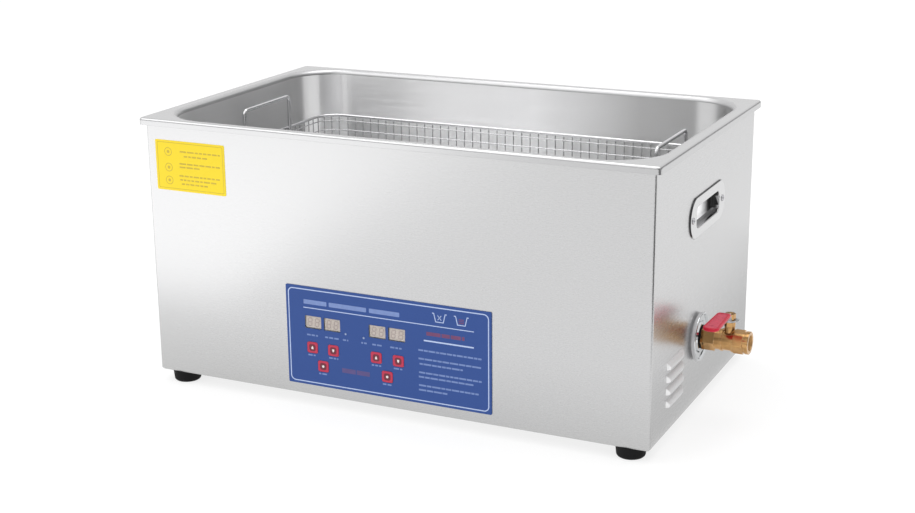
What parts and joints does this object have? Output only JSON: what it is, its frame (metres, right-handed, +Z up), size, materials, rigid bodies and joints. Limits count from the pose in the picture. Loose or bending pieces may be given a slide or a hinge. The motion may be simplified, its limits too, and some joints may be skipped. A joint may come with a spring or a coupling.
{
  "type": "heated ultrasonic cleaner",
  "caption": "Bench-top heated ultrasonic cleaning bath: a rectangular steel tank in a sheet casing with a front control panel, lift-out wire basket and side drain valve.",
  "frame": {"origin": "on the ground, at the centre of the casing's footprint between the four feet", "axes": "+Z up; the control panel faces -Y; the drain valve is on the +X side"},
  "size_m": [0.5765, 0.32, 0.272],
  "materials": {
    "casing_steel": "fine-brushed stainless sheet",
    "tank_steel": "satin deep-drawn stainless steel",
    "handle_steel": "pressed stainless steel, satin",
    "wire_steel": "electropolished stainless wire",
    "screw_steel": "bright machine screw",
    "bright_plate": "polished chrome plate",
    "brass": "machined brass, lightly tarnished",
    "lever_steel": "zinc-plated steel strip",
    "red_vinyl": "glossy dipped vinyl",
    "black_rubber": "matt black rubber",
    "silicone": "translucent silicone hose",
    "seat_ptfe": "white low-friction plastic",
    "overlay_blue": "printed polyester overlay, satin gloss",
    "display_lens": "clear window",
    "display_body": "pale grey moulded display",
    "key_red": "embossed red key",
    "label_yellow": "printed yellow label",
    "board_green": "green solder resist",
    "nylon": "natural nylon",
    "heatsink_alu": "extruded aluminium",
    "ferrite": "ferrite cores with wound coils",
    "cap_sleeve": "shrink-sleeved can",
    "transducer_alu": "turned aluminium",
    "piezo": "fired piezo-ceramic with silvered faces",
    "transducer_steel": "turned steel",
    "heater_silicone": "silicone heater mat",
    "fan_black": "black moulded plastic",
    "switch_black": "black moulded plastic"
  },
  "bodies": {
    "cabinet": {"tank": "tank_steel", "casing_wrap": "casing_steel", "rear_panel": "casing_steel", "base_plate": "casing_steel", "casing_screws": "screw_steel", "rubber_feet": "black_rubber", "foot_screws": "screw_steel", "left_handle_plate": "handle_steel", "right_handle_plate": "handle_steel", "valve_flange": "bright_plate", "valve_gasket": "black_rubber", "valve_body": "brass", "valve_end_cap": "brass", "valve_seats": "seat_ptfe", "gland_nut": "brass", "valve_locknut": "brass", "drain_spud": "handle_steel", "drain_gasket": "black_rubber", "spud_nut": "brass", "drain_hose": "silicone", "panel_overlay": "overlay_blue", "display_lenses": "display_lens", "control_board": "board_green", "display_modules": "display_body", "board_standoffs": "nylon", "driver_board": "board_green", "heatsink": "heatsink_alu", "transformers": "ferrite", "capacitors": "cap_sleeve", "transducer_front_masses": "transducer_alu", "transducer_piezo_rings": "piezo", "transducer_back_masses": "transducer_steel", "transducer_bolts": "screw_steel", "heater_pads": "heater_silicone", "fan_frame": "fan_black", "fan_guard": "screw_steel", "fan_screws": "screw_steel", "power_inlet": "switch_black", "label_plate": "label_yellow"},
    "basket": {"basket_rim": "wire_steel", "basket_frame": "wire_steel", "basket_hoops": "wire_steel", "basket_uprights": "wire_steel", "basket_floor_wires": "wire_steel", "basket_handles": "wire_steel"},
    "drain_handle": {"drain_lever": "lever_steel", "lever_sleeve": "red_vinyl", "lever_nut": "brass", "valve_stem": "brass", "valve_ball": "bright_plate"},
    "button_1": {"key_1": "key_red"},
    "button_2": {"key_2": "key_red"},
    "button_3": {"key_3": "key_red"},
    "button_4": {"key_4": "key_red"},
    "button_5": {"key_5": "key_red"},
    "button_6": {"key_6": "key_red"},
    "fan": {"fan_rotor": "fan_black"},
    "rocker": {"power_rocker": "switch_black"},
    "fuse_tray": {"fuse_drawer": "switch_black"}
  },
  "joints": [
    {"name": "basket_lift", "type": "slide", "parent": "cabinet", "child": "basket", "axis": [0, 0, 1], "range_m": [0, 0.2]},
    {"name": "drain_turn", "type": "hinge", "parent": "cabinet", "child": "drain_handle", "pos_m": [0.2915, -0.022, 0.09], "axis": [0, 0, 1], "range_deg": [0, 90]},
    {"name": "press_1", "type": "slide", "parent": "cabinet", "child": "button_1", "axis": [0, 1, 0], "range_m": [0, 0.0006]},
    {"name": "press_2", "type": "slide", "parent": "cabinet", "child": "button_2", "axis": [0, 1, 0], "range_m": [0, 0.0006]},
    {"name": "press_3", "type": "slide", "parent": "cabinet", "child": "button_3", "axis": [0, 1, 0], "range_m": [0, 0.0006]},
    {"name": "press_4", "type": "slide", "parent": "cabinet", "child": "button_4", "axis": [0, 1, 0], "range_m": [0, 0.0006]},
    {"name": "press_5", "type": "slide", "parent": "cabinet", "child": "button_5", "axis": [0, 1, 0], "range_m": [0, 0.0006]},
    {"name": "press_6", "type": "slide", "parent": "cabinet", "child": "button_6", "axis": [0, 1, 0], "range_m": [0, 0.0006]},
    {"name": "fan_spin", "type": "hinge", "parent": "cabinet", "child": "fan", "pos_m": [0.06, 0.141, 0.066], "axis": [0, 1, 0], "continuous": true},
    {"name": "power_rock", "type": "hinge", "parent": "cabinet", "child": "rocker", "pos_m": [-0.19, 0.1545, 0.088], "axis": [1, 0, 0], "range_deg": [0, 16]},
    {"name": "fuse_slide", "type": "slide", "parent": "cabinet", "child": "fuse_tray", "axis": [0, 1, 0], "range_m": [0, 0.02]}
  ]
}
